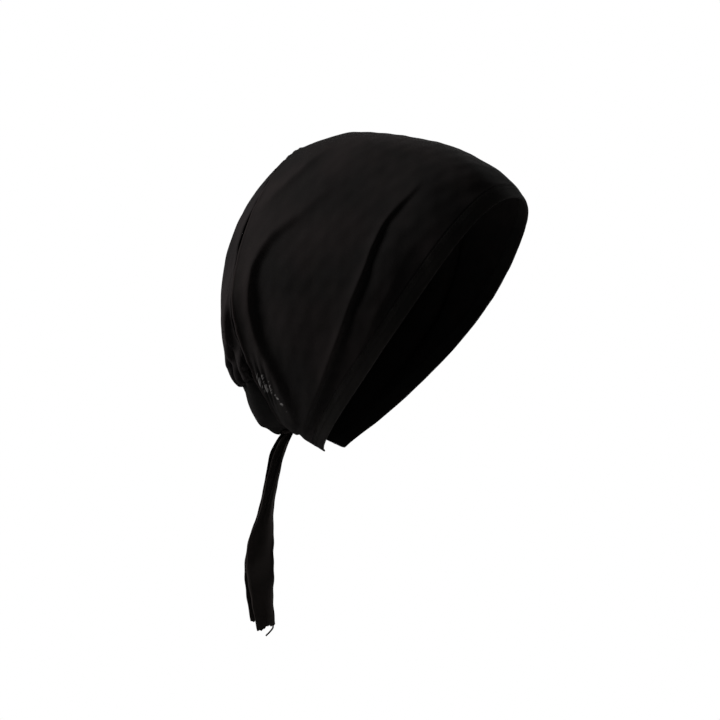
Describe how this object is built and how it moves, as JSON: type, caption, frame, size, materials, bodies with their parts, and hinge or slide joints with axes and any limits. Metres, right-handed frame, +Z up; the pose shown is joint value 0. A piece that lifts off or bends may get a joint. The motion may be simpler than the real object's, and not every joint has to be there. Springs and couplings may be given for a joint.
{
  "type": "tie-back underscarf cap",
  "caption": "Close black jersey cap worn under a headscarf, with a full gathered back, a hemmed face opening and ties knotted at the nape.",
  "frame": {"origin": "inside of the crown's top, where the cap rests on the head", "axes": "+Z up out of the top of the head, the face opening towards -Y, the wearer's left towards +X"},
  "size_m": [0.1573, 0.2159, 0.3587],
  "materials": {
    "crown_jersey": "black knitted jersey, matt, faintly warm where it is drawn thin",
    "band_jersey": "the same jersey doubled in a hem, matt black",
    "bag_jersey": "the same jersey, gathered and soft, a little browner in the light",
    "tie_jersey": "strips of the same jersey with raw, slightly rolled edges"
  },
  "bodies": {
    "root": {"crown_panel": "crown_jersey", "face_band": "band_jersey", "back_bag": "bag_jersey", "nape_band": "band_jersey", "tie_knot": "tie_jersey", "tie_tail_right": "tie_jersey", "tie_tail_left": "tie_jersey"}
  },
  "joints": []
}
